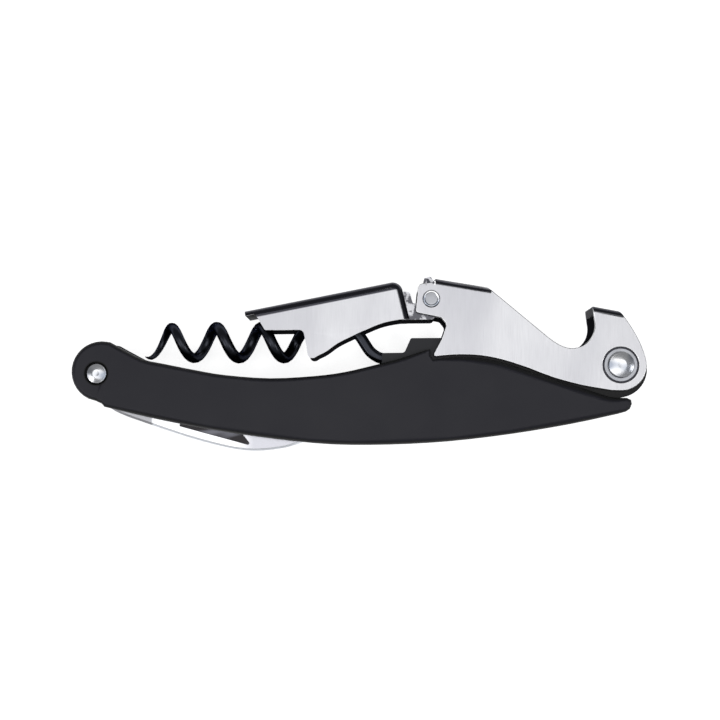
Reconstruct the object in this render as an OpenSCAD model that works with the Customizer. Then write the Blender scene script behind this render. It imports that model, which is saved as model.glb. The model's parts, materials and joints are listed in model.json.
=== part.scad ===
// Waiter's corkscrew with a two-step lever, folded shut and lying on its back scale.
// X runs along the handle towards the lever pivot, Y across it towards the lever side,
// Z up through its thickness. The outline sits centred on the origin.
// Each part is drawn about the mid-plane of the handle and lifted to it by at_mid_plane().

/* [Handle] */
// Thickness of the die-cast core
core_t = 9.6; // [9.4:0.1:9.8]
// Thickness of each scale
scale_t = 2.4; // [2.3:0.1:2.8]
// How far the core's edge stands back from the scales' edge
core_setback = 0.25; // [0.1:0.05:0.3]
// Radius of the round boss at the blade end
boss_r = 6.05; // [5.95:0.05:6.1]
// Radius of the dowels that locate the scales
dowel_r = 1.0; // [0.7:0.1:1.2]

/* [Lever and boot arm] */
// Outside width of the lever and of the boot arm
lever_w = 12; // [11.9:0.1:12.2]
// Thickness of the pressed steel sheet
sheet_t = 1.0; // [0.8:0.1:1]
// Outer radius of the lever's bends
lever_bend_r = 1.4; // [1:0.1:1.5]
// Outer radius of the boot arm's bends
arm_bend_r = 1.4; // [1:0.1:1.5]
// Radius of the rivet that the lever swings on
lever_rivet_r = 2.0; // [1.8:0.1:2.1]
// Radius of the rivet that the boot arm swings on
hinge_rivet_r = 1.25; // [1:0.05:1.4]

/* [Worm] */
// Radius of the worm's wire
wire_r = 1.15; // [1:0.05:1.15]
// Radius of the helix that the wire's centre follows
coil_r = 3.15; // [3:0.05:3.2]
// Advance of the helix in one turn
pitch = 9.2; // [9:0.1:9.3]
// Radius of the pin through the worm's eye
worm_pin_r = 1.45; // [1.3:0.05:1.45]

/* [Foil blade] */
// Thickness of the blade
blade_t = 1.2; // [1:0.1:1.3]
// Width of the blade's pocket in the core
pocket_w = 2.0; // [1.9:0.1:2.2]
// Radius of the rivet that the blade swings on
blade_rivet_r = 1.5; // [1.3:0.1:1.6]

/* [Hidden] */
$fn = 64;

// Pivots, in the mid-plane
lever_pivot = [52, -0.6];
hinge_pivot = [14.2, 12.7];
blade_pivot = [-52.8, -2.3];
worm_pivot = [10.3, -2];

// Heights from the mid-plane
core_z = core_t / 2;
face_z = core_z + scale_t;
cheek_z = lever_w / 2;
cheek_in_z = cheek_z - sheet_t;
tab_gap = 0.15;
tab_z = cheek_in_z - tab_gap;
tab_in_z = tab_z - sheet_t;
past = 40;
fit_gap = 0.05;

// Round heads and rings
lever_head_r = 2.65;
blade_head_r = 2.1;
head_h = 1.15;
hinge_head_r = 1.8;
hinge_head_h = 0.45;
recess_r = 3.6;
recess_depth = 0.45;
washer_r = 3.3;
washer_t = 0.4;
bush_r = 3.0;
shim_r = 4.6;
shim_t = 0.35;
shim_depth = 0.2;
blade_washer_r = 3.2;
worm_spacer_r = 2.4;
hinge_spacer_r = 2.0;
spacer_play = 0.02;
scale_sink = 1.2;
dowel_depth = 1.4;
dowel_root_z = 1.6;
dowel_places = [[-40, -6.4], [20, -9], [40, -8.5]];

// ---------------------------------------------------------------- outline helpers

function unit(v) = v / norm(v);

function flat(p) = [p[0], p[1]];

function rest_of(p, from) = [for (i = [from:len(p) - 1]) p[i]];

function arc(c, r, from, to, n = 12) = [
    for (i = [0:n])
        let (a = from + (to - from) * i / n)
        [c[0] + r * cos(a), c[1] + r * sin(a)]
];

// Smooth curve through the points of p, with n steps from each to the next
function spline(p, n = 3) = [
    for (i = [0:len(p) - 2])
        let (a = p[max(i - 1, 0)], b = p[i], c = p[i + 1], d = p[min(i + 2, len(p) - 1)])
        for (k = [0:n - 1])
            let (t = k / n)
            b + ((c - a) * t + (2 * a - 5 * b + 4 * c - d) * t * t
                + (3 * b - a - 3 * c + d) * t * t * t) / 2,
    p[len(p) - 1]
];

// Quadratic curve from a to c that is pulled towards b
function bow(a, b, c, n = 8) = [
    for (i = [0:n])
        let (t = i / n)
        a * (1 - t) * (1 - t) + b * 2 * t * (1 - t) + c * t * t
];

// Arc of radius r in place of the corner b between a and c
function corner(a, b, c, r, n = 6) =
    let (
        u = unit(a - b),
        v = unit(c - b),
        half = acos(u * v) / 2,
        centre = b + unit(u + v) * r / sin(half),
        start = b + u * r / tan(half) - centre,
        end = b + v * r / tan(half) - centre,
        from = atan2(start[1], start[0]),
        turn = (atan2(end[1], end[0]) - from + 540) % 360 - 180
    )
    arc(centre, r, from, from + turn, n);

// Closed outline whose points may carry a corner radius as a third value
function rounded(p) = [
    for (i = [0:len(p) - 1])
        let (a = flat(p[(i + len(p) - 1) % len(p)]), b = flat(p[i]), c = flat(p[(i + 1) % len(p)]))
        each len(p[i]) > 2 ? corner(a, b, c, p[i][2]) : [b]
];

// Moves point i of the clockwise outline p inwards by d[i], along its mitre
function inset(p, d) = [
    for (i = [0:len(p) - 1])
        let (
            b = flat(p[i]),
            u = unit(b - flat(p[(i + len(p) - 1) % len(p)])),
            v = unit(flat(p[(i + 1) % len(p)]) - b)
        )
        b + [u[1] + v[1], -u[0] - v[0]] * d[i] / (1 + u * v)
];

// Skin from each ring of n points to the next; with loop, from the last ring back to the first
function band_faces(rings, n, loop = false) = [
    for (k = [0:rings - (loop ? 1 : 2)])
        for (i = [0:n - 1])
            let (j = (i + 1) % n, low = k * n, high = (k + 1) % rings * n)
            each [[low + i, low + j, high + j], [low + i, high + j, high + i]]
];

// Flat ends of a stack of convex rings
function end_faces(rings, n) = [
    [for (i = [n - 1:-1:0]) i],
    [for (i = [0:n - 1]) (rings - 1) * n + i]
];

module at_mid_plane() {
    translate([0, 0, face_z]) children();
}

module both_sides() {
    children();
    mirror([0, 0, 1]) children();
}

module at(p, z = 0) {
    translate([p[0], p[1], z]) children();
}

module ring(r_out, r_in, h) {
    linear_extrude(h) difference() {
        circle(r_out);
        circle(r_in);
    }
}

module dome(r, h) {
    ball_r = (r * r + h * h) / (2 * h);
    intersection() {
        translate([0, 0, h - ball_r]) sphere(ball_r);
        cylinder(r = r, h = h);
    }
}

// ---------------------------------------------------------------- handle

// Outline of a scale, clockwise: [x, y, radius of the rounded outer edge]
boss_centre = [-51.85, -1.85];
boss_arc = [for (p = arc(boss_centre, boss_r, 245, 80, 16)) [p[0], p[1], 0.9]];
handle_top = [
    [-50.2, 4, 0.9], [-47.3, 2.4, 0.9], [-43.5, 0.55, 0.9], [-39.1, -0.4, 0.9],
    [-33.1, -1.6, 0.9], [-27.1, -2.6, 0.9], [-18.1, -3.25, 0.9], [-9.1, -2.8, 0.9],
    [-3.1, -2, 0.9], [2.9, -0.6, 0.9], [7.9, 0.65, 0.9], [12.7, 2.25, 0.7]
];
tooth_notch = [[13.95, 2.5, 0.4], [13.9, 1.3, 0.4], [14.5, 0.45, 0.5]];
lever_seat = [
    [16, 0.75, 0.7], [19.5, 1, 1.1], [23.9, 0.8, 1.4], [28.3, 0, 1.6], [32.9, -1.5, 1.6],
    [38.9, -3.55, 1.6], [44, -5.1, 1.6], [47.5, -6.3, 1.5], [50.2, -7.1, 1.2], [53, -7.2, 0.8]
];
tail_end = [[53.85, -7.6, 0.7], [54, -8.4, 0.7], [53.6, -9.4, 0.7], [52.8, -9.95, 0.8]];
handle_belly = [
    [51.2, -10.4, 1], [41.9, -12.4, 1.1], [29.9, -14.4, 1.1], [17.9, -15.8, 1.1],
    [5.9, -16.45, 1.1], [-6.1, -16.4, 1.1], [-17.5, -15.3, 1.1], [-30.1, -13.45, 1.1],
    [-41.9, -11.15, 1.1], [-51.2, -8.95, 0.8]
];
boss_step = [[-51.75, -8.3, 0.7], [-53, -7.75, 0.8]];
handle_outline = concat(
    boss_arc, spline(handle_top), tooth_notch, spline(lever_seat), tail_end,
    spline(handle_belly), boss_step
);

// Hump of the core between the lever's cheeks, from the worm's shoulder to the lever pivot
lever_land = [
    [4.3, -6], [4.3, 1.9, 0.4], [8.8, 1.95, 0.8], [10.1, 4.9, 0.5], [18.9, 4.95, 1.5],
    [35.9, 0, 6], [46, -1.2, 1], [52, -0.6], [52, -9], [20, -12]
];
land_end = [51.6, -1.3];
land_r = 5.8;

// Trough that the worm folds over, open at the top and on both sides of the core
worm_trough = [
    [-43.8, 0.3], [-41, -1.6], [-36, -4], [-28, -6.6], [-18, -7.6], [-8, -7.3], [0, -6.4],
    [4.3, -5.8], [4.3, 12], [-43.8, 12]
];

// Slot that the worm's eye turns in, and its way out to the left and up
worm_slot_w = 4.4;
eye_room_r = 4.1;
worm_slot = [[3, -3], [10.3, -3], [14.4, -2], [16.1, 12], [3, 12]];

// Pocket that the blade folds into, open below and round the boss
tang_room_r = 4.5;
blade_pocket = [
    blade_pivot, [-54.6, 7.4], [-64, 7], [-64, -24], [-6.5, -24], [-6.5, -12.6], [-8, -12.2],
    [-15, -10.9], [-25, -8.9], [-35, -6.9], [-44, -4.7], [-47.2, -1.7]
];

// Leaf spring that presses on the blade's round tang
spring_t = 0.6;
spring_w = 1.8;
spring_len = 11;
spring_grip = 2.5;
spring_angle = -30;
tang_r = 4.2;

module at_spring() {
    at(blade_pivot) rotate(spring_angle) translate([0, tang_r + fit_gap]) children();
}

module handle_core() {
    color("dimgray") at_mid_plane() difference() {
        union() {
            linear_extrude(core_t, center = true)
                polygon(inset(handle_outline, [for (p = handle_outline) core_setback]));
            linear_extrude(core_t, center = true) polygon(rounded(lever_land));
            at(land_end) cylinder(r = land_r, h = core_t, center = true);
        }
        linear_extrude(core_t + 1, center = true) polygon(worm_trough);
        at(lever_pivot) cylinder(r = bush_r, h = core_t + 1, center = true);
        at(worm_pivot) cylinder(r = worm_pin_r, h = core_t + 1, center = true);
        at(blade_pivot) cylinder(r = blade_rivet_r, h = core_t + 1, center = true);
        linear_extrude(worm_slot_w, center = true) {
            translate(worm_pivot) circle(eye_room_r);
            polygon(worm_slot);
        }
        linear_extrude(pocket_w, center = true) {
            translate(blade_pivot) circle(tang_room_r);
            polygon(blade_pocket);
        }
        at_spring() {
            translate([-2, -1, -pocket_w / 2])
                cube([spring_len + 2 - spring_grip, spring_t + 1.4, pocket_w]);
            translate([0, 0, -spring_w / 2]) cube([spring_len, spring_t, spring_w]);
        }
        both_sides() {
            at(lever_pivot, core_z - shim_depth) cylinder(r = shim_r + 0.2, h = 1);
            for (p = dowel_places) at(p, dowel_root_z) cylinder(r = dowel_r, h = core_z);
        }
    }
}

rim_steps = 4;

// Border of a scale with its rounded outer edge, as a closed hoop round the flat middle
module scale_border(middle) {
    foot = [for (p = handle_outline) [p[0], p[1], 0]];
    rim = [
        for (k = [0:rim_steps])
            let (
                a = 90 * k / rim_steps,
                edge = inset(handle_outline, [for (p = handle_outline) p[2] * (1 - cos(a))])
            )
            for (i = [0:len(edge) - 1])
                [edge[i][0], edge[i][1], scale_t - handle_outline[i][2] * (1 - sin(a))]
    ];
    inner_foot = [for (p = middle) [p[0], p[1], 0]];
    polyhedron(
        concat(foot, rim, inner_foot),
        band_faces(rim_steps + 3, len(handle_outline), loop = true)
    );
}

// One scale, from its flat inner face at height 0 to its outer face
module scale_shell() {
    middle = inset(handle_outline, [for (p = handle_outline) p[2]]);
    difference() {
        union() {
            scale_border(middle);
            linear_extrude(scale_t) polygon(middle);
        }
        at(blade_pivot, -1) cylinder(r = blade_rivet_r, h = scale_t);
        at(blade_pivot, scale_t - scale_sink) cylinder(r = blade_head_r + 0.25, h = 2);
        for (p = dowel_places) at(p, -1) cylinder(r = dowel_r, h = 1 + dowel_depth);
    }
}

module front_scale() {
    color("darkslategray") at_mid_plane() translate([0, 0, core_z]) scale_shell();
}

module back_scale() {
    color("darkslategray") at_mid_plane() mirror([0, 0, 1]) translate([0, 0, core_z]) scale_shell();
}

module scale_dowels() {
    color("gray") at_mid_plane() both_sides() for (p = dowel_places)
        at(p, dowel_root_z) cylinder(r = dowel_r, h = core_z + dowel_depth - dowel_root_z);
}

module pivot_bush() {
    bush_h = core_t - 2 * shim_depth;
    color("goldenrod") at_mid_plane() at(lever_pivot, -bush_h / 2)
        ring(bush_r, lever_rivet_r + fit_gap, bush_h);
}

module lever_shims() {
    color("whitesmoke") at_mid_plane() both_sides() at(lever_pivot, core_z - shim_depth)
        ring(shim_r, lever_rivet_r + 0.1, shim_t);
}

module worm_pin() {
    color("silver") at_mid_plane() at(worm_pivot, -core_z) cylinder(r = worm_pin_r, h = core_t);
}

module worm_spacers() {
    spacer_foot = wire_r + spacer_play;
    color("silver") at_mid_plane() both_sides() at(worm_pivot, spacer_foot)
        ring(worm_spacer_r, worm_pin_r + fit_gap, worm_slot_w / 2 - spacer_foot - spacer_play);
}

module blade_rivet() {
    floor_z = face_z - scale_sink;
    color("silver") at_mid_plane() both_sides() at(blade_pivot) {
        cylinder(r = blade_rivet_r, h = floor_z);
        translate([0, 0, floor_z]) dome(blade_head_r, head_h);
    }
}

module blade_washers() {
    washer_foot = blade_t / 2 + spacer_play;
    color("goldenrod") at_mid_plane() both_sides() at(blade_pivot, washer_foot)
        ring(blade_washer_r, blade_rivet_r + fit_gap, pocket_w / 2 - washer_foot - spacer_play);
}

module blade_spring() {
    color("silver") at_mid_plane() at_spring() translate([-1, 0, -spring_w / 2])
        cube([spring_len + 1, spring_t, spring_w]);
}

// ---------------------------------------------------------------- lever

// The two bent webs join the cheeks along these lines: [start, end]
front_web = [[15.1, 16.88], [25.45, 15.15]];
rear_web = [[46.5, 11.3], [51.75, 10.3]];

// Round notch that lifts crown caps
notch_centre = [42.3, 7.4];
notch_r = 4.65;
notch_from = -110;
notch_to = 13;
notch_start = notch_centre + notch_r * [cos(notch_from), sin(notch_from)];

lever_eye_r = 5.15;
lever_eye_from = 15;
lever_outline = rounded(concat(
    [
        [11.6, 15.8, 1.2], [14.6, 15.95], [front_web[0][0], front_web[0][1], 0.2],
        [front_web[1][0], front_web[1][1], 0.6]
    ],
    bow([37.4, 5.1], [39.25, 3.55], notch_start, 4),
    rest_of(arc(notch_centre, notch_r, notch_from, notch_to, 18), 1),
    [[rear_web[0][0], rear_web[0][1], 0.2], rear_web[1]],
    bow([52.2, 9.9], [56, 4.85], arc(lever_pivot, lever_eye_r, lever_eye_from, 0, 1)[0]),
    rest_of(arc(lever_pivot, lever_eye_r, lever_eye_from, -94, 16), 1),
    spline([
        [50.1, -5.7], [45.1, -4.85], [42.3, -4.2], [38.9, -3.25], [36, -2.2], [32.9, -1],
        [28.3, 0.45], [23.9, 1.3], [19.5, 1.45], [16.4, 1.25]
    ]),
    [
        [14.3, 1, 0.45], [16.2, 4.6], [17.25, 7.6, 0.9], [16.2, 8.9, 0.6], [13.8, 9.4],
        [11, 9.95, 0.8]
    ]
));

// Curled stop at the lever's nose, between the boot arm's tabs
curl_centre = [13.75, 16.5];
curl_r = 1.05;
curl_w = 6.6;

// Turned-down lip that hooks under a crown cap
lip_drop = 1.8;

function angle_of(line) = atan2(line[1][1] - line[0][1], line[1][0] - line[0][0]);

function length_of(line) = norm(line[1] - line[0]);

// Strip of sheet under a web line, sheet_t thick
module web_strip(line, extra = 0) {
    translate(line[0]) rotate(angle_of(line)) translate([-extra, -sheet_t])
        square([length_of(line) + extra, sheet_t + 1]);
}

// Waste outside the rounded bend, along X from 0 to len at height cheek_z
module bend_waste(len, r) {
    rotate([90, 0, 90]) linear_extrude(len) bend_waste_profile(r);
}

module bend_waste_profile(r) {
    difference() {
        translate([-r, cheek_z - r]) square(r + 1);
        translate([-r, cheek_z - r]) circle(r);
    }
}

module lever_rounding(line) {
    at(line[0]) rotate(angle_of(line)) translate([-2, 0, 0])
        bend_waste(length_of(line) + 4, lever_bend_r);
}

module main_lever() {
    color("lightgray") at_mid_plane() {
        difference() {
            linear_extrude(lever_w, center = true) difference() {
                polygon(lever_outline);
                translate(lever_pivot) circle(lever_rivet_r);
                translate(hinge_pivot) circle(hinge_rivet_r);
            }
            linear_extrude(2 * cheek_in_z, center = true) difference() {
                translate([0, -20]) square([70, 50]);
                web_strip(front_web);
                web_strip(rear_web);
                translate([rear_web[0][0], rear_web[0][1] - lip_drop]) square([sheet_t, lip_drop]);
            }
            both_sides() {
                at(lever_pivot, cheek_z - recess_depth) cylinder(r = recess_r, h = 2);
                intersection() {
                    union() {
                        lever_rounding(front_web);
                        lever_rounding(rear_web);
                    }
                    linear_extrude(cheek_z + 2) {
                        translate([15, 10]) square([11.2, 10]);
                        translate([46, 7]) square([6.6, 6]);
                    }
                }
            }
        }
        linear_extrude(curl_w, center = true) {
            translate(curl_centre) circle(curl_r);
            translate([curl_centre[0], 15.5]) square([1.8, 0.9]);
        }
    }
}

module lever_rivet() {
    seat_z = cheek_z - recess_depth + washer_t;
    color("silver") at_mid_plane() both_sides() at(lever_pivot) {
        cylinder(r = lever_rivet_r, h = seat_z);
        translate([0, 0, seat_z]) dome(lever_head_r, head_h);
    }
}

module lever_washers() {
    color("silver") at_mid_plane() both_sides() at(lever_pivot, cheek_z - recess_depth)
        ring(washer_r, lever_rivet_r + fit_gap, washer_t);
}

module hinge_rivet() {
    color("silver") at_mid_plane() both_sides() at(hinge_pivot) {
        cylinder(r = hinge_rivet_r, h = cheek_z);
        translate([0, 0, cheek_z])
            cylinder(r1 = hinge_head_r, r2 = hinge_head_r - hinge_head_h, h = hinge_head_h);
    }
}

module hinge_spacer() {
    spacer_h = 2 * (tab_in_z - fit_gap);
    color("silver") at_mid_plane() at(hinge_pivot, -spacer_h / 2)
        ring(hinge_spacer_r, hinge_rivet_r + fit_gap, spacer_h);
}

// ---------------------------------------------------------------- boot arm

arm_corner = [7.95, 16.5];
arm_corner_r = 2;
arm_slope = 11.2;
arm_len = 31.9;
arm_end_angle = 76;
arm_top_start = arm_corner - 30 * [cos(arm_slope), sin(arm_slope)];
arm_end_foot = arm_corner + 7.6 * [cos(arm_end_angle), -sin(arm_end_angle)];
arm_outline = rounded(concat(
    [
        [-21.9, 10.3], arm_top_start, [arm_corner[0], arm_corner[1], arm_corner_r], arm_end_foot,
        [9.95, 8.65, 0.3]
    ],
    spline([
        [8, 8.6], [5.7, 8.2], [3.5, 7.55], [0.6, 6.3], [-1.7, 5.25], [-4.6, 3.8], [-6.9, 2.15],
        [-8.5, 1.35]
    ]),
    [
        [-9.3, 0.85, 0.5], [-10.5, 0.85, 0.8], [-10.9, 3.55], [-11.5, 6.5, 1], [-19.2, 6.45, 0.5],
        [-19.9, 7.6], [-20.5, 8.7]
    ]
));

// The web wraps over the corner and stops above the neck
web_stop_y = 14.2;
function web_inner_corner() =
    let (
        top = [sin(arm_slope), -cos(arm_slope)],
        end = [-sin(arm_end_angle), -cos(arm_end_angle)]
    )
    arm_corner + (top + end) * sheet_t / (1 + top * end);
arm_hollow = rounded([
    web_inner_corner() - 40 * [cos(arm_slope), sin(arm_slope)],
    [web_inner_corner()[0], web_inner_corner()[1], arm_corner_r - sheet_t],
    [web_inner_corner()[0] + 0.25, web_stop_y], [past, web_stop_y], [past, -past], [-past, -past]
]);

// Neck and round lobe that carry the hinge, one sheet inside each lever cheek
neck_outline = rounded([
    [8.2, 14.4], [9.9, 14.1, 0.3], [10.5, 11.9, 0.5], [12.2, 11.9], [16.2, 12], [15.6, 10.4, 1.5],
    [14.7, 8.65, 0.8], [8.2, 8.6]
]);
lobe_r = 2.5;

module at_arm_corner() {
    at(arm_corner) children();
}

// Length of each edge that the rounded corner takes up
corner_reach = arm_corner_r * tan((arm_slope + arm_end_angle) / 2);
corner_middle = arm_corner
    + corner_reach * [sin(90 - arm_end_angle), -cos(90 - arm_end_angle)]
    - arm_corner_r * [sin(arm_end_angle), cos(arm_end_angle)];

module arm_rounding() {
    both_sides() {
        at_arm_corner() rotate(arm_slope) translate([-past, 0, 0])
            bend_waste(past - corner_reach, arm_bend_r);
        at(corner_middle) rotate(90 - arm_end_angle)
            rotate_extrude(angle = arm_end_angle + arm_slope)
            translate([arm_corner_r, 0]) bend_waste_profile(arm_bend_r);
        at_arm_corner() rotate(-arm_end_angle) translate([corner_reach, 0, 0])
            bend_waste(past, arm_bend_r);
    }
}

module arm_sheet() {
    linear_extrude(lever_w, center = true) {
        polygon(arm_outline);
        at_arm_corner() rotate(arm_slope) translate([-arm_len, -sheet_t])
            square([8, sheet_t]);
    }
}

// Thick root where each cheek steps in to meet its tab
module arm_step() {
    both_sides() translate([0, 0, tab_in_z]) linear_extrude(cheek_z - tab_in_z) intersection() {
        polygon(arm_outline);
        at_arm_corner() rotate(-arm_end_angle) translate([2.15, -arm_bend_r]) square([past, past]);
    }
}

module boot_arm() {
    color("lightgray") at_mid_plane() {
        difference() {
            union() {
                difference() {
                    arm_sheet();
                    linear_extrude(2 * cheek_in_z, center = true) polygon(arm_hollow);
                }
                arm_step();
            }
            arm_rounding();
        }
        both_sides() translate([0, 0, tab_in_z]) linear_extrude(sheet_t) difference() {
            union() {
                translate(hinge_pivot) circle(lobe_r);
                polygon(neck_outline);
            }
            translate(hinge_pivot) circle(hinge_rivet_r + fit_gap);
        }
    }
}

// ---------------------------------------------------------------- worm

worm_axis_y = 4.35;
first_top_x = -38.8;
tip_turn = -200;
last_turn = 990;
helix_steps = 66;
cross_steps = 8;
wire_sides = 14;
eye_r = 2.7;
eye_from = 100;
eye_to = -180;

// Radius of the wire, from the ground point to the full wire
function wire_at(turn) = wire_r * lookup(turn, [[tip_turn, 0.07], [-160, 0.43], [0, 0.85], [360, 1]]);

function helix_point(turn) = [
    first_top_x + pitch * turn / 360, worm_axis_y + coil_r * cos(turn), coil_r * sin(turn)
];

// Leaves the helix at its far side and rises to the top, over the worm's axis
function cross_point(u) =
    [
        first_top_x + pitch * last_turn / 360 + 2.2 * u + 1.5 * u * u,
        worm_axis_y + coil_r * sin(90 * u),
        -coil_r * (1 + cos(180 * u)) / 2
    ];

// Shank from the helix down to the eye, in the mid-plane
shank = [
    [-9.8, 7.5, 0], [-7, 7.5, 0], [-3.9, 7.4, 0], [-1.7, 6.9, 0], [-0.2, 5.6, 0], [0.8, 4.1, 0],
    [1.9, 2.5, 0], [3.4, 1.4, 0], [5, 0.95, 0], [7.5, 0.8, 0], [9.83, 0.66, 0]
];

eye_path = [
    for (p = arc(worm_pivot, eye_r, eye_from, eye_to, 22)) [p[0], p[1], 0]
];

helix_turns = [for (i = [0:helix_steps]) tip_turn + (last_turn - tip_turn) * i / helix_steps];
wire_path = concat(
    [for (t = helix_turns) helix_point(t)],
    [for (i = [1:cross_steps]) cross_point(i / cross_steps)],
    rest_of(spline(shank), 1),
    rest_of(eye_path, 1)
);

// Direction that each ring's first point faces: away from the helix axis, then up
function wire_side(i) =
    let (p = wire_path[i], d = wire_path[min(i + 1, len(wire_path) - 1)] - wire_path[max(i - 1, 0)])
    i <= helix_steps + cross_steps
        ? [0, p[1] - worm_axis_y, p[2]]
        : [-d[1], d[0], 0];

function wire_ring(i) =
    let (
        p = wire_path[i],
        d = unit(wire_path[min(i + 1, len(wire_path) - 1)] - wire_path[max(i - 1, 0)]),
        w = unit(cross(d, wire_side(i))),
        s = cross(w, d),
        r = i <= helix_steps ? wire_at(helix_turns[i]) : wire_r
    )
    [for (k = [0:wire_sides - 1]) let (a = -360 * k / wire_sides) p + r * (s * cos(a) + w * sin(a))];

module worm() {
    color("black") at_mid_plane() polyhedron(
        [for (i = [0:len(wire_path) - 1]) each wire_ring(i)],
        concat(
            band_faces(len(wire_path), wire_sides),
            end_faces(len(wire_path), wire_sides)
        )
    );
}

// ---------------------------------------------------------------- foil blade

blade_body = concat(
    [[-50.1, 0.9], [-48, -2.6]],
    spline([[-46.5, -4.3], [-44, -5.3], [-35, -7.3], [-25, -9.3], [-15, -11.4], [-8.5, -13.6]]),
    spline([
        [-9.2, -14.9], [-12, -16.1], [-15.9, -17.2], [-21.7, -17.75], [-27.5, -17],
        [-35.7, -14.8], [-44.9, -11.7], [-48, -10.6], [-51, -9.1], [-53.5, -6.6]
    ])
);
nail_nick = [[-37.3, -12.6, 0.3], [-22.2, -16.7, 0.3], [-24.5, -13.8, 0.3], [-35.5, -11.4, 0.3]];
nick_depth = 0.4;

module foil_blade() {
    color("silver") at_mid_plane() difference() {
        union() {
            linear_extrude(blade_t, center = true) polygon(blade_body);
            at(blade_pivot) cylinder(r = tang_r, h = blade_t, center = true);
        }
        at(blade_pivot) cylinder(r = blade_rivet_r + fit_gap, h = blade_t + 1, center = true);
        translate([0, 0, blade_t / 2 - nick_depth]) linear_extrude(1) polygon(rounded(nail_nick));
    }
}

handle_core();
front_scale();
back_scale();
scale_dowels();
pivot_bush();
lever_shims();
worm_pin();
worm_spacers();
blade_rivet();
blade_washers();
blade_spring();
main_lever();
lever_rivet();
lever_washers();
hinge_rivet();
hinge_spacer();
boot_arm();
worm();
foil_blade();
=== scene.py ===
"""Looks of a folded waiter's corkscrew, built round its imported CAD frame. Metres, +Z up."""

import json
import math

import bmesh
import bpy
from mathutils import Matrix, Vector


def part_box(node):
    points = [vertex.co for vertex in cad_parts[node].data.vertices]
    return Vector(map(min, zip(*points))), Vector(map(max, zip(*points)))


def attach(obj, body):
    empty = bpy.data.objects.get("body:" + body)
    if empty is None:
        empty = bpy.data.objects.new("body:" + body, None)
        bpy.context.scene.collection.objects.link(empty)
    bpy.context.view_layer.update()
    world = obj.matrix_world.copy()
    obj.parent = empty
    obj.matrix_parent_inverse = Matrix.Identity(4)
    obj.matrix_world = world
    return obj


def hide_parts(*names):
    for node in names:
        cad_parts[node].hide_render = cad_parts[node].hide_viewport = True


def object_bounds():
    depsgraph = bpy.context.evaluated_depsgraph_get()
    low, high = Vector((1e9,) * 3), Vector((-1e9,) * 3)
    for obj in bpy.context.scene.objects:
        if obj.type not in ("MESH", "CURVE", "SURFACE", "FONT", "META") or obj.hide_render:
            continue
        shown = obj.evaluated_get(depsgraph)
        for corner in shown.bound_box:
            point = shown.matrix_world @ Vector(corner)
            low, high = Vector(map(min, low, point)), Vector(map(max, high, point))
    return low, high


MM = 0.001

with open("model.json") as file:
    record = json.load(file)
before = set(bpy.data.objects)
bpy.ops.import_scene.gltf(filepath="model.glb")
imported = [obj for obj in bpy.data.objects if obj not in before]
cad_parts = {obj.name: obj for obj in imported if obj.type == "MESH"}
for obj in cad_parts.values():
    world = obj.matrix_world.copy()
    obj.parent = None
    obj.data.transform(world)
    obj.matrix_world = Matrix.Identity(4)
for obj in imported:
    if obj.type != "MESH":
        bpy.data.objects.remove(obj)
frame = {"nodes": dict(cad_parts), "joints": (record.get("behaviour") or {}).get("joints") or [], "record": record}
cad_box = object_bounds()
nodes = frame["nodes"]
low, high = cad_box
middle = (Vector(low) + Vector(high)) / 2


def joint_place(name):
    return Vector(next(j["pos_m"] for j in frame["joints"] if j["name"] == name))


LEVER_PIVOT = joint_place("lever_swing")
HINGE_PIVOT = joint_place("arm_swing")
BLADE_PIVOT = joint_place("blade_swing")
MID_Z = LEVER_PIVOT.z

# Name of the value that marks the rounded edges' faces
EDGE = "edge"

# Middle of the curled stop at the lever's nose
CURL = HINGE_PIVOT + Vector((-0.45, 3.8, 0)) * MM

# Upper edges of the two pressings, with how far the painted shade of their bends reaches down the cheeks
ARM_TOP_EDGE = (Vector((-23.4, 10.3)) * MM, Vector((7.95, 16.5)) * MM)
ARM_BEND_SHADE_DEPTH = 1.7 * MM
LEVER_TOP_EDGE = (Vector((15.1, 16.88)) * MM, Vector((25.45, 15.15)) * MM)
LEVER_BEND_SHADE_DEPTH = 1.1 * MM

# Along the blade: the end of its unground root, and where its bright face turns duller
RICASSO_END = BLADE_PIVOT.x + 10.4 * MM
DULL_START = BLADE_PIVOT.x + 27 * MM
DULL_END = BLADE_PIVOT.x + 31 * MM

# ---------------------------------------------------------------- materials

NOISE_ROUGHNESS = 0.6
MASK_BLUR = 0.1 * MM

# The colour sockets of a Mix node share their names with its other sockets
MIX_FIRST, MIX_SECOND, MIX_RESULT = 6, 7, 2


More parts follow.
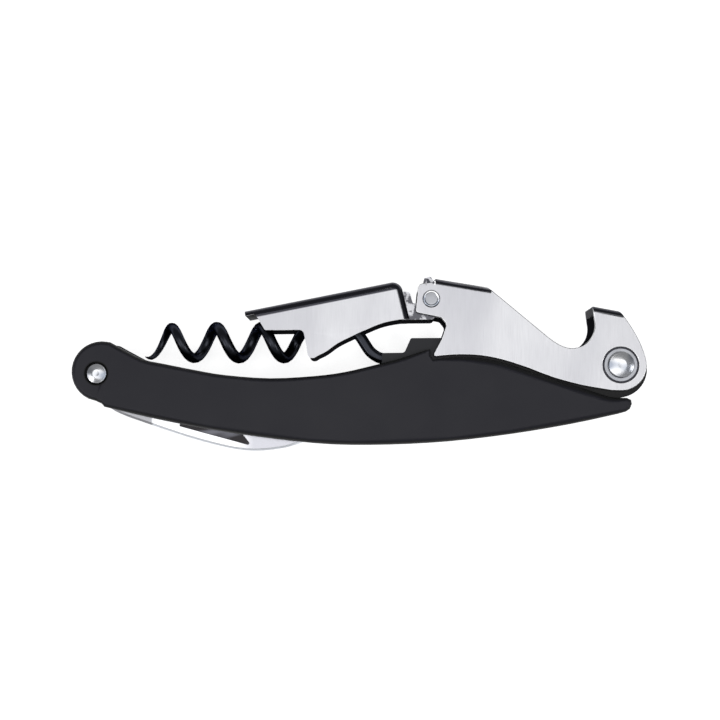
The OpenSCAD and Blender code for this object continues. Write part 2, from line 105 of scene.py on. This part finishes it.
class Shader:
    """A material with its Principled node and short calls for the nodes that feed it."""

    def __init__(self, name, **sockets):
        self.material = bpy.data.materials.new(name)
        self.material.use_nodes = True
        self.tree = self.material.node_tree
        self.principled = self.tree.nodes["Principled BSDF"]
        coords = self.add("ShaderNodeTexCoord")
        self.coords = coords.outputs["Object"]
        self.normal = coords.outputs["Normal"]
        for socket, value in sockets.items():
            self.principled.inputs[socket.replace("_", " ")].default_value = value

    def add(self, kind, **settings):
        """A new node; a setting that starts with in_ is one of its input sockets."""
        node = self.tree.nodes.new(kind)
        for key, value in settings.items():
            if key.startswith("in_"):
                node.inputs[key[3:].replace("_", " ")].default_value = value
            else:
                setattr(node, key, value)
        return node

    def link(self, source, target):
        self.tree.links.new(source, target)

    def feed(self, source, socket):
        self.link(source, self.principled.inputs[socket])

    def noise(self, scale, stretch=(1, 1, 1), turn=0.0, detail=4.0):
        """Noise over the object, stretched along its axes, as a value about 0.5."""
        mapping = self.add("ShaderNodeMapping", in_Scale=stretch, in_Rotation=(0, 0, turn))
        texture = self.add(
            "ShaderNodeTexNoise", in_Scale=scale, in_Detail=detail, in_Roughness=NOISE_ROUGHNESS
        )
        self.link(self.coords, mapping.inputs["Vector"])
        self.link(mapping.outputs["Vector"], texture.inputs["Vector"])
        return texture.outputs["Fac"]

    def spread(self, source, low_value, high_value, low_from=0.3, high_from=0.7):
        """source from low_from..high_from onto low_value..high_value."""
        node = self.add(
            "ShaderNodeMapRange", in_From_Min=low_from, in_From_Max=high_from,
            in_To_Min=low_value, in_To_Max=high_value,
        )
        self.link(source, node.inputs["Value"])
        return node.outputs["Result"]

    def maths(self, operation, first, second=None):
        """The operation on one or two sockets or numbers."""
        node = self.add("ShaderNodeMath", operation=operation)
        for slot, value in zip(node.inputs, (first, second)):
            if isinstance(value, (int, float)):
                slot.default_value = value
            elif value is not None:
                self.link(value, slot)
        return node.outputs["Value"]

    def both(self, first, second):
        """The part that two masks share."""
        return self.maths("MULTIPLY", first, second)

    def either(self, first, second):
        """All that two masks cover."""
        return self.maths("MAXIMUM", first, second)

    def without(self, mask):
        """All that the mask doesn't cover."""
        return self.maths("SUBTRACT", 1, mask)

    def blend(self, factor, first, second):
        """Colour between first and second, each a colour or a socket."""
        node = self.add("ShaderNodeMix", data_type="RGBA")
        for slot, value in ((MIX_FIRST, first), (MIX_SECOND, second)):
            if isinstance(value, tuple):
                node.inputs[slot].default_value = (*value, 1)
            else:
                self.link(value, node.inputs[slot])
        self.link(factor, node.inputs["Factor"])
        return node.outputs[MIX_RESULT]

    def bump(self, height, depth, strength):
        """Bump from height, depth metres deep."""
        node = self.add("ShaderNodeBump", in_Strength=strength, in_Distance=depth)
        self.link(height, node.inputs["Height"])
        self.feed(node.outputs["Normal"], "Normal")

    def axis(self, vector, name):
        node = self.add("ShaderNodeSeparateXYZ")
        self.link(vector, node.inputs["Vector"])
        return node.outputs[name]

    def upright(self):
        """1 on faces that look along Z, either way, and 0 on walls."""
        return self.maths("ABSOLUTE", self.axis(self.normal, "Z"))

    def above_middle(self):
        """Height above the tool's mid-plane, negative behind it."""
        return self.maths("SUBTRACT", self.axis(self.coords, "Z"), MID_Z)

    def edges(self):
        """1 on the faces that round_edges made."""
        return self.add("ShaderNodeAttribute", attribute_name=EDGE).outputs["Fac"]

    def near(self, centre, full, none):
        """1 within full metres of centre in the XY plane, falling to 0 at none."""
        offset = self.add("ShaderNodeVectorMath", operation="SUBTRACT")
        self.link(self.coords, offset.inputs[0])
        offset.inputs[1].default_value = centre
        flat = self.add("ShaderNodeVectorMath", operation="MULTIPLY")
        self.link(offset.outputs["Vector"], flat.inputs[0])
        flat.inputs[1].default_value = (1, 1, 0)
        length = self.add("ShaderNodeVectorMath", operation="LENGTH")
        self.link(flat.outputs["Vector"], length.inputs[0])
        return self.spread(length.outputs["Value"], 1, 0, full, none)

    def below_line(self, line, depth):
        """1 within depth under the line, between its ends, seen along Z."""
        start, end = line
        along = (end - start).normalized()
        x = self.axis(self.coords, "X")
        y = self.axis(self.coords, "Y")
        across = self.maths(
            "SUBTRACT", self.maths("MULTIPLY", y, along.x), self.maths("MULTIPLY", x, along.y)
        )
        foot = start.y * along.x - start.x * along.y - depth
        strip = self.spread(across, 0, 1, foot - MASK_BLUR, foot + MASK_BLUR)
        strip = self.both(strip, self.spread(x, 0, 1, start.x, start.x + 2 * MASK_BLUR))
        return self.both(strip, self.spread(x, 1, 0, end.x - 2 * MASK_BLUR, end.x))


def bends(s, edge):
    """Painted shade where the pressed sheet is rolled over, and on the strips beside its upper edges."""
    wall_limits = (0.02, 0.2)
    flat_limits = (0.94, 0.993)
    upright = s.upright()
    not_wall = s.spread(upright, 0, 1, *wall_limits)
    not_flat = s.spread(upright, 1, 0, *flat_limits)
    rolled = s.both(s.both(not_flat, not_wall), s.without(edge))
    strips = s.either(
        s.below_line(ARM_TOP_EDGE, ARM_BEND_SHADE_DEPTH), s.below_line(LEVER_TOP_EDGE, LEVER_BEND_SHADE_DEPTH)
    )
    return s.either(rolled, s.both(strips, not_wall))


def rims(s, edge):
    """Painted shade on the rounded edges that look up and to the right."""
    shadow_x, shadow_y = 0.6, 0.8
    flat_limits = (0.75, 0.96)
    aside = s.maths(
        "ADD", s.maths("MULTIPLY", s.axis(s.normal, "X"), shadow_x),
        s.maths("MULTIPLY", s.axis(s.normal, "Y"), shadow_y),
    )
    not_flat = s.spread(s.upright(), 1, 0, *flat_limits)
    return s.both(s.both(not_flat, s.spread(aside, 0, 1, 0, 0.15)), edge)


def hinge_tabs(s):
    """Outer faces of the boot arm's tabs, which lie between the lever's cheeks."""
    inner_z = (2 * MM, 3 * MM)
    outer_z = (5.1 * MM, 5.3 * MM)
    outward = s.maths("MULTIPLY", s.above_middle(), s.axis(s.normal, "Z"))
    return s.both(s.spread(outward, 0, 1, *inner_z), s.spread(outward, 1, 0, *outer_z))


def hollows(s, tabs):
    """Painted shade inside the two channels, but not on the hinge tabs or what looks up into the light."""
    cheek_z = (5.15 * MM, 5.6 * MM)
    lit_limits = (0.3, 0.8)
    between = s.spread(s.maths("ABSOLUTE", s.above_middle()), 1, 0, *cheek_z)
    shaded = s.spread(s.axis(s.normal, "Y"), 1, 0, *lit_limits)
    return s.both(s.both(between, shaded), s.without(tabs))


def brushed_steel():
    """Pressed stainless sheet: brushed flats, painted shade on the bends, rims and insides, and painted highlights
    on the rounded edges.
    """
    dull = (0.53, 0.53, 0.56)
    bright = (0.67, 0.67, 0.69)
    scratch = (0.44, 0.44, 0.46)
    edge_highlight = (0.93, 0.93, 0.94)
    black = (0.05, 0.05, 0.06)
    unlit = (0.03, 0.03, 0.035)
    recess_shade_r = (3.58 * MM, 3.66 * MM)
    curl_r = (1.2 * MM, 1.35 * MM)
    s = Shader("brushed_steel", Metallic=1.0)
    streaks = s.noise(1.0, stretch=(14000, 260, 14000), detail=3)
    clouds = s.noise(60, stretch=(1, 0.5, 1), detail=2)
    flat = s.blend(s.spread(clouds, 0, 1, 0.35, 0.65), dull, bright)
    flat = s.blend(s.spread(streaks, 0, 0.3), flat, scratch)

    edge = s.edges()
    tabs = hinge_tabs(s)
    # Dark noise mottling on the hinge tabs
    tab_mottling = s.both(tabs, s.spread(s.noise(700, detail=2), 0, 0.9, 0.44, 0.56))
    # Painted shadow in the gap round the lever rivet's washer
    recess_shade = s.near(LEVER_PIVOT, *recess_shade_r)
    # Dark noise patches on the nose curl
    curl = s.both(s.near(CURL, *curl_r), s.spread(s.noise(1300, detail=2), 0, 1, 0.5, 0.58))
    # marks: the painted shadow in the recess, with the dark mottling on the tabs and the curl
    marks = s.either(tab_mottling, s.either(recess_shade, curl))
    # Painted shade on the bends and the up-right rims, added to the dark marks
    dark = s.either(s.either(bends(s, edge), rims(s, edge)), marks)
    # Painted shade inside the channels
    inside = hollows(s, tabs)

    # Painted highlight on the rounded edges, with the dark parts over it
    colour = s.blend(dark, s.blend(edge, flat, edge_highlight), black)
    s.feed(s.blend(inside, colour, unlit), "Base Color")
    rough = s.blend(dark, s.spread(streaks, 0.28, 0.34), (0.25, 0.25, 0.25))
    s.feed(s.blend(inside, rough, (0.75, 0.75, 0.75)), "Roughness")
    s.bump(streaks, 0.0025 * MM, 0.25)
    return s.material


def polished_steel():
    """Polished rivet heads, with painted reflections as soft swirls across the bright metal, and a painted dark
    rim.
    """
    dark_reflection = (0.34, 0.37, 0.43)
    bright = (0.9, 0.9, 0.91)
    rim = (0.16, 0.165, 0.18)
    s = Shader("polished_steel", Metallic=1.0)
    marks = s.noise(900, detail=3)
    swirls = s.noise(250, stretch=(1, 1.5, 1), turn=math.radians(35), detail=0)
    # Painted reflections: dark and bright swirls
    colour = s.blend(s.spread(swirls, 0, 1, 0.38, 0.6), dark_reflection, bright)
    # Painted shade on the rim, where the head turns away from Z
    s.feed(s.blend(s.spread(s.upright(), 1, 0, 0.55, 0.8), colour, rim), "Base Color")
    s.feed(s.spread(marks, 0.19, 0.23), "Roughness")
    s.bump(marks, 0.01 * MM, 0.15)
    return s.material


def turned_steel():
    """Plain pins, spacers and washers."""
    s = Shader("turned_steel", Metallic=1.0)
    rings = s.noise(1.0, stretch=(400, 400, 9000), detail=2)
    s.feed(s.blend(s.spread(rings, 0, 1), (0.42, 0.43, 0.46), (0.49, 0.50, 0.53)), "Base Color")
    s.feed(s.spread(rings, 0.3, 0.45), "Roughness")
    s.bump(rings, 0.004 * MM, 0.3)
    return s.material


def soft_touch():
    """Rubberised black coating of the scales, with painted shade round the rolled edge and round the rivet."""
    deep = (0.0040, 0.0036, 0.0115)
    pale = (0.0065, 0.0061, 0.0145)
    shadow = (0.0025, 0.0025, 0.003)
    boss_r = (4.6 * MM, 5.0 * MM)
    rivet_ring_r = (2.4 * MM, 2.6 * MM)
    flat_limits = (0.8, 0.996)
    s = Shader("soft_touch_black", IOR=1.45)
    grain = s.noise(9000, detail=3)
    clouds = s.noise(60, detail=3)
    colour = s.blend(s.spread(clouds, 0, 1), deep, pale)
    boss = s.near(BLADE_PIVOT, *boss_r)
    rolled = s.both(s.spread(s.upright(), 1, 0, *flat_limits), s.without(boss))
    # Painted shade on the rolled edge and in the ring round the blade rivet
    dark = s.either(rolled, s.near(BLADE_PIVOT, *rivet_ring_r))
    s.feed(s.blend(dark, colour, shadow), "Base Color")
    s.feed(s.blend(dark, s.spread(clouds, 0.42, 0.5), (0.6, 0.6, 0.6)), "Roughness")
    s.bump(grain, 0.005 * MM, 0.3)
    return s.material


def core_black():
    """Painted die casting between the scales, with painted shade under the lever and painted highlights on its
    rounded edges.
    """
    deep = (0.017, 0.0175, 0.022)
    pale = (0.024, 0.0245, 0.030)
    edge_highlight = (0.05, 0.052, 0.066)
    unlit = (0.0015, 0.0015, 0.002)
    shade_length = 6 * MM
    s = Shader("core_black", Specular_IOR_Level=0.25)
    peel = s.noise(2500, detail=4)
    # Painted highlight on the rounded edges
    colour = s.blend(s.edges(), s.blend(s.spread(peel, 0, 1), deep, pale), edge_highlight)
    # Painted shade under the lever
    shade_end = HINGE_PIVOT.x + shade_length
    under_lever = s.spread(s.axis(s.coords, "X"), 0, 1, HINGE_PIVOT.x, shade_end)
    s.feed(s.blend(under_lever, colour, unlit), "Base Color")
    s.feed(s.spread(peel, 0.3, 0.42), "Roughness")
    s.bump(peel, 0.012 * MM, 0.3)
    return s.material


def worm_coating():
    """Satin black coating of the worm, dark at grazing angles."""
    deep = (0.032, 0.034, 0.042)
    pale = (0.046, 0.049, 0.060)
    s = Shader("worm_coating", Metallic=1.0, Specular_Tint=(0.12, 0.12, 0.14, 1))
    drawn = s.noise(700, detail=3)
    s.feed(s.blend(s.spread(drawn, 0, 1), deep, pale), "Base Color")
    s.feed(s.spread(drawn, 0.26, 0.34), "Roughness")
    s.bump(drawn, 0.006 * MM, 0.15)
    return s.material


def nail_nick(s):
    """Floor of the nick, sunk in the blade's front face."""
    face_z = (0.53 * MM, 0.58 * MM)
    least_z = (0.05 * MM, 0.1 * MM)
    floor_limits = (0.8, 0.95)
    height = s.above_middle()
    sunk = s.both(s.spread(height, 1, 0, *face_z), s.spread(height, 0, 1, *least_z))
    return s.both(sunk, s.spread(s.axis(s.normal, "Z"), 0, 1, *floor_limits))


def blade_steel():
    """Polished blade: grey root, bright face, and painted shade in the nail nick."""
    satin = (0.80, 0.80, 0.82)
    bright = (0.88, 0.88, 0.89)
    dull = (0.5, 0.5, 0.54)
    bevel = (0.80, 0.82, 0.86)
    root = (0.34, 0.34, 0.36)
    s = Shader("blade_steel", Metallic=1.0)
    grind = s.noise(1.0, stretch=(3000, 9000, 3000), turn=math.radians(13), detail=3)
    edge = s.edges()
    along = s.axis(s.coords, "X")
    face = s.blend(s.spread(grind, 0, 1), satin, bright)
    face = s.blend(s.spread(along, 0, 1, DULL_START, DULL_END), face, dull)
    face = s.blend(edge, face, bevel)
    ricasso = s.spread(along, 1, 0, RICASSO_END - 0.3 * MM, RICASSO_END + 0.1 * MM)
    face = s.blend(ricasso, face, root)
    stains = s.spread(s.noise(260, stretch=(0.5, 1.6, 1), detail=1), 0, 1, 0.4, 0.6)
    shade_in_nick = s.blend(stains, (0.03, 0.028, 0.03), (0.13, 0.13, 0.15))
    s.feed(s.blend(nail_nick(s), face, shade_in_nick), "Base Color")
    s.feed(s.blend(edge, s.spread(grind, 0.1, 0.18), (0.45, 0.45, 0.45)), "Roughness")
    s.bump(grind, 0.002 * MM, 0.3)
    return s.material


def bronze():
    """Sintered bearing bronze."""
    s = Shader("bronze", Metallic=1.0)
    pores = s.noise(5000, detail=3)
    s.feed(s.blend(s.spread(pores, 0, 1), (0.36, 0.22, 0.09), (0.5, 0.32, 0.14)), "Base Color")
    s.feed(s.spread(pores, 0.4, 0.6), "Roughness")
    s.bump(pores, 0.01 * MM, 0.4)
    return s.material


def nylon():
    """Natural nylon shims."""
    s = Shader("nylon", Roughness=0.5, Subsurface_Weight=0.1)
    clouds = s.noise(700, detail=3)
    s.feed(s.blend(s.spread(clouds, 0, 1), (0.62, 0.62, 0.58), (0.72, 0.72, 0.68)), "Base Color")
    return s.material


MATERIALS = {
    "soft_touch_black": soft_touch(),
    "core_black": core_black(),
    "brushed_steel": brushed_steel(),
    "polished_steel": polished_steel(),
    "pin_steel": turned_steel(),
    "worm_coating": worm_coating(),
    "blade_steel": blade_steel(),
    "bronze": bronze(),
    "nylon": nylon(),
}
SLOT_OF = {p["node"]: p["material_slot"] for p in frame["record"]["subparts"]}
BODY_OF = {n: b for b, ns in frame["record"]["behaviour"]["bodies"].items() for n in ns}

# ---------------------------------------------------------------- pieces

CREASE = math.radians(40)
WELD_GAP = 0.002 * MM
FLAT_ANGLE = math.radians(0.6)


def shade(piece, flat_weight):
    """Smooth shading that keeps creases sharp; flat_weight is how much the flats rule."""
    mesh = piece.data
    mesh.shade_smooth()
    mesh.set_sharp_from_angle(angle=CREASE)
    weighted = piece.modifiers.new("normals", "WEIGHTED_NORMAL")
    weighted.keep_sharp = True
    weighted.weight = flat_weight


def piece_from(work, name, node, slot=None, flat_weight=50):
    """The bmesh work as a piece that stands for node and moves with its body."""
    mesh = bpy.data.meshes.new(name)
    work.to_mesh(mesh)
    work.free()
    piece = bpy.data.objects.new(name, mesh)
    bpy.context.scene.collection.objects.link(piece)
    slot = slot or SLOT_OF[node]
    mesh.materials.append(MATERIALS[slot])
    shade(piece, flat_weight)
    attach(piece, BODY_OF[node])
    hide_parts(node)


def cleaned(node):
    """The node's mesh with its seams closed and its flat faces merged."""
    work = bmesh.new()
    work.from_mesh(nodes[node].data)
    bmesh.ops.remove_doubles(work, verts=work.verts, dist=WELD_GAP)
    bmesh.ops.dissolve_limit(work, angle_limit=FLAT_ANGLE, verts=work.verts, edges=work.edges)
    return work


def round_edges(work, width, segments=3, least=32.0, keep=None, clamp=True):
    """Rounds the edges that turn by more than least degrees, and marks the new faces.

    With clamp, Blender's overlap guard shrinks every width where the mesh has short edges.
    """
    mark = work.faces.layers.float.get(EDGE) or work.faces.layers.float.new(EDGE)
    sharp = [
        e for e in work.edges
        if e.is_manifold and e.calc_face_angle(0) > math.radians(least)
        and (keep is None or keep(e))
    ]
    made = bmesh.ops.bevel(
        work, geom=sharp, offset=width, segments=segments, profile=0.5,
        affect="EDGES", clamp_overlap=clamp, offset_type="OFFSET",
    )
    for face in made["faces"]:
        face[mark] = 1.0


def refined(node, width, segments=3, shape=None, flat_weight=50):
    """The node's mesh with its edges rounded, after shape has changed it."""
    work = cleaned(node)
    if shape:
        shape(work)
    if width:
        round_edges(work, width, segments)
    piece_from(work, node + "_piece", node, flat_weight=flat_weight)


def roll_curl(work):
    """Turns the round stop at the lever's nose into an uneven roll of sheet."""
    least_r = 0.9 * MM
    most_r = 1.12 * MM
    foot = -0.62 * MM
    dent = 0.16
    dents = 5
    for vert in work.verts:
        away = Vector((vert.co.x - CURL.x, vert.co.y - CURL.y))
        if least_r < away.length < most_r and away.y > foot:
            turn = math.atan2(away.y, away.x)
            shrink = 1 - dent * (0.5 - 0.5 * math.cos(dents * turn))
            vert.co.x = CURL.x + away.x * shrink
            vert.co.y = CURL.y + away.y * shrink


def nearest_on(line, point):
    """The place on the line between its two ends that is nearest to point."""
    start, end = line
    share = (point - start).dot(end - start) / (end - start).length_squared
    return start.lerp(end, min(max(share, 0), 1))


def round_cheeks(work):
    """Rounds the outline of both cheeks where it meets their outer faces."""
    width = 0.16 * MM
    slack = 0.01 * MM
    wall_tilt = 0.1
    outer = max(abs(vert.co.z - MID_Z) for vert in work.verts)

    def outlines(edge):
        flush = all(abs(vert.co.z - MID_Z) > outer - slack for vert in edge.verts)
        return flush and min(abs(face.normal.z) for face in edge.link_faces) < wall_tilt

    lines = [[vert.co.copy() for vert in edge.verts] for edge in work.edges if outlines(edge)]
    round_edges(work, width, least=60, keep=outlines, clamp=False)

    # The rounding's ends can shoot along a neighbouring edge, so they are brought back
    mark = work.faces.layers.float[EDGE]
    for vert in {v for face in work.faces if face[mark] for v in face.verts}:
        places = [nearest_on(line, vert.co) for line in lines]
        gap, place = min(((vert.co - place).length, place[:]) for place in places)
        if gap > 2 * width:
            vert.co = place


def shape_lever(work):
    roll_curl(work)
    round_cheeks(work)


def bevel_back(work):
    """Bevels both faces along the blade's back, the edge that shows under the handle."""
    width = 0.42 * MM
    full_thickness = 1 * MM
    start_x = BLADE_PIVOT.x + 2 * MM
    back_drop = 6 * MM
    back_slope = 0.19
    wall_tilt = 0.3

    def along_back(edge):
        centre = (edge.verts[0].co + edge.verts[1].co) / 2
        back_y = BLADE_PIVOT.y - back_drop - back_slope * (centre.x - BLADE_PIVOT.x)
        walls = [f for f in edge.link_faces if abs(f.normal.z) < wall_tilt]
        spans = [max(v.co.z for v in f.verts) - min(v.co.z for v in f.verts) for f in walls]
        on_back = centre.y < back_y and centre.x > start_x
        return len(walls) == 1 and spans[0] > full_thickness and on_back

    round_edges(work, width, 1, keep=along_back, clamp=False)


def turned(name, node, centre, profile, side, slot=None):
    """A piece turned about the Z axis through centre, from pairs of radius and height above
    the mid-plane; side is 1 for the front and -1 for the back."""
    sides = 64
    work = bmesh.new()
    rings = []
    for radius, height in profile:
        z = MID_Z + side * height
        if radius == 0:
            rings.append([work.verts.new((centre.x, centre.y, z))])
            continue
        turns = [2 * math.pi * i / sides for i in range(sides)]
        rings.append([
            work.verts.new((centre.x + radius * math.cos(t), centre.y + radius * math.sin(t), z))
            for t in turns
        ])
    for lower, upper in zip(rings, rings[1:]):
        for i in range(sides):
            j = (i + 1) % sides
            corners = [
                lower[i % len(lower)], lower[j % len(lower)],
                upper[j % len(upper)], upper[i % len(upper)],
            ]
            corners = list(dict.fromkeys(corners))
            work.faces.new(corners if side > 0 else corners[::-1])
    piece_from(work, name, node, slot)


def fillet(corner_r, corner_h, r):
    """Profile points of an outer rounding of radius r below and inside (corner_r, corner_h)."""
    steps = 5
    turns = [math.radians(90 * k / steps) for k in range(steps + 1)]
    return [
        (corner_r - r + r * math.cos(turn), corner_h - r + r * math.sin(turn)) for turn in turns
    ]


def crowned_head(name, node, centre, radius, side):
    """Closed rivet head: a rounded rim, a shallow crown and a small dimple in its middle."""
    rim_r = 0.32 * MM
    head_h = 1.15 * MM
    shoulder_share = 0.72
    crown_shares = (0.82, 0.68, 0.54, 0.42, 0.34)
    dimple = ((0.26, 0.01 * MM), (0.14, 0.05 * MM), (0, 0.06 * MM))

    top = box_top(node)
    foot = top - head_h
    shoulder = foot + shoulder_share * head_h
    profile = [(radius, foot)] + fillet(radius, shoulder, rim_r)
    edge_r = profile[-1][0]
    for share in crown_shares:
        rise = 1 - (share * radius / edge_r) ** 2
        profile.append((share * radius, shoulder + (top - shoulder) * rise))
    lip = profile[-1][1]
    profile += [(share * radius, lip - depth) for share, depth in dimple]
    turned(name, node, centre, profile, side)


def flat_head(end, side):
    """Head of the hinge rivet in two pieces: a bright raised ring, and a plain core inside."""
    radius = 1.7 * MM
    skirt_r = 1.78 * MM
    head_h = 0.45 * MM
    rim_r = 0.2 * MM
    ring_steps = ((1.34, 0.01), (1.24, 0.06), (1.2, 0.09))
    core_steps = ((1.21, 0.09), (0.9, 0.07), (0.5, 0.06), (0, 0.06))

    top = box_top("hinge_rivet")
    ring = [(skirt_r, top - head_h)] + fillet(radius, top, rim_r)
    ring += [(r * MM, top - depth * MM) for r, depth in ring_steps]
    turned("hinge_rivet_" + end, "hinge_rivet", HINGE_PIVOT, ring, side)
    core = [(r * MM, top - depth * MM) for r, depth in core_steps]
    turned("hinge_rivet_core_" + end, "hinge_rivet", HINGE_PIVOT, core, side, slot="pin_steel")


def box_top(node):
    """Height of the node's front face above the mid-plane."""
    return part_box(node)[1].z - MID_Z


# How far each node's edges are rounded
ROUNDING = {
    "handle_core": 0.16 * MM,
    "front_scale": 0,
    "back_scale": 0,
    "scale_dowels": 0.05 * MM,
    "pivot_bush": 0.05 * MM,
    "lever_shims": 0.03 * MM,
    "worm_pin": 0.05 * MM,
    "worm_spacers": 0.05 * MM,
    "blade_washers": 0.02 * MM,
    "blade_spring": 0.05 * MM,
    "lever_washers": 0.07 * MM,
    "hinge_spacer": 0.05 * MM,
    "worm": 0,
}
for node, width in ROUNDING.items():
    refined(node, width)

# The pressings' large flats stay even only with the full weight
refined("main_lever", 0, shape=shape_lever, flat_weight=100)
# The overlap guard shrinks this rounding to nothing, so the arm's edges stay sharp
refined("boot_arm", 0.26 * MM, 4, flat_weight=100)
refined("foil_blade", 0.05 * MM, 2, bevel_back)

for side, end in ((1, "front"), (-1, "back")):
    crowned_head("lever_rivet_" + end, "lever_rivet", LEVER_PIVOT, 2.65 * MM, side)
    crowned_head("blade_rivet_" + end, "blade_rivet", BLADE_PIVOT, 2.1 * MM, side)
    flat_head(end, side)

# ---------------------------------------------------------------- floor, light and camera

FLOOR_HALF = 1.5


def paper_floor():
    """White paper under the tool, lit from within so that it stays pale."""
    mesh = bpy.data.meshes.new("floor")
    corners = ((-1, -1), (1, -1), (1, 1), (-1, 1))
    mesh.from_pydata(
        [(x * FLOOR_HALF, y * FLOOR_HALF, low[2]) for x, y in corners], [], [(0, 1, 2, 3)]
    )
    paper = Shader(
        "paper_floor", Roughness=0.9, Base_Color=(0.86, 0.86, 0.86, 1),
        Emission_Strength=0.78, Emission_Color=(1, 1, 1, 1),
    )
    mesh.materials.append(paper.material)
    floor = bpy.data.objects.new("floor", mesh)
    bpy.context.scene.collection.objects.link(floor)
    return floor


def softbox(name, place, size, power, shape):
    """A lamp of the given size that looks at the middle of the tool."""
    light = bpy.data.lights.new(name, "AREA")
    light.shape = shape
    light.size, light.size_y = size
    light.energy = power
    lamp = bpy.data.objects.new(name, light)
    lamp.location = place
    lamp.rotation_euler = (middle - Vector(place)).to_track_quat("-Z", "Y").to_euler()
    bpy.context.scene.collection.objects.link(lamp)


def studio_world():
    """Soft light from all round."""
    world = bpy.data.worlds.new("studio")
    world.use_nodes = True
    background = world.node_tree.nodes["Background"]
    background.inputs["Color"].default_value = (0.8, 0.82, 0.85, 1)
    background.inputs["Strength"].default_value = 0.26
    return world


def camera_from(place, target, view_width):
    """A camera at place that sees view_width metres across at the target, with +Y up."""
    sensor_width = 36  # mm, as Blender takes it
    back = (place - target).normalized()
    right = Vector((0, 1, 0)).cross(back).normalized()
    up = back.cross(right)
    data = bpy.data.cameras.new("camera")
    data.sensor_width = sensor_width
    data.lens = sensor_width * (place - target).length / view_width
    camera = bpy.data.objects.new("camera", data)
    turn = Matrix((right, up, back)).transposed().to_4x4()
    camera.matrix_world = Matrix.Translation(place) @ turn
    bpy.context.scene.collection.objects.link(camera)
    return camera


floor = paper_floor()

# Name, place and size in metres, power in watts, and shape
LAMPS = (
    ("top_box", (0.0, -0.02, 0.8), (0.75, 0.62), 1.5, "ELLIPSE"),
    ("left_key", (-0.45, -0.26, 0.6), (0.22, 0.22), 0.6, "DISK"),
    ("right_key", (0.5, -0.08, 0.5), (0.18, 0.18), 0.35, "DISK"),
    ("left_strip", (-0.75, -0.1, 0.4), (0.12, 0.8), 0.45, "RECTANGLE"),
    ("right_strip", (0.75, -0.1, 0.4), (0.12, 0.8), 0.45, "RECTANGLE"),
)
for lamp in LAMPS:
    softbox(*lamp)

scene = bpy.context.scene
scene.world = studio_world()
scene.view_settings.view_transform = "Standard"

# The camera hangs over a point beside the handle and looks a little sideways at the middle
CAMERA_OVER = Vector((3.9, -17.6)) * MM
CAMERA_RISE = 297 * MM
VIEW_WIDTH = 144 * MM
target = Vector((-0.1 * MM, 0.4 * MM, high[2] - 1.0 * MM))
place = Vector((CAMERA_OVER.x, CAMERA_OVER.y, target.z + CAMERA_RISE))
scene.camera = camera_from(place, target, VIEW_WIDTH)
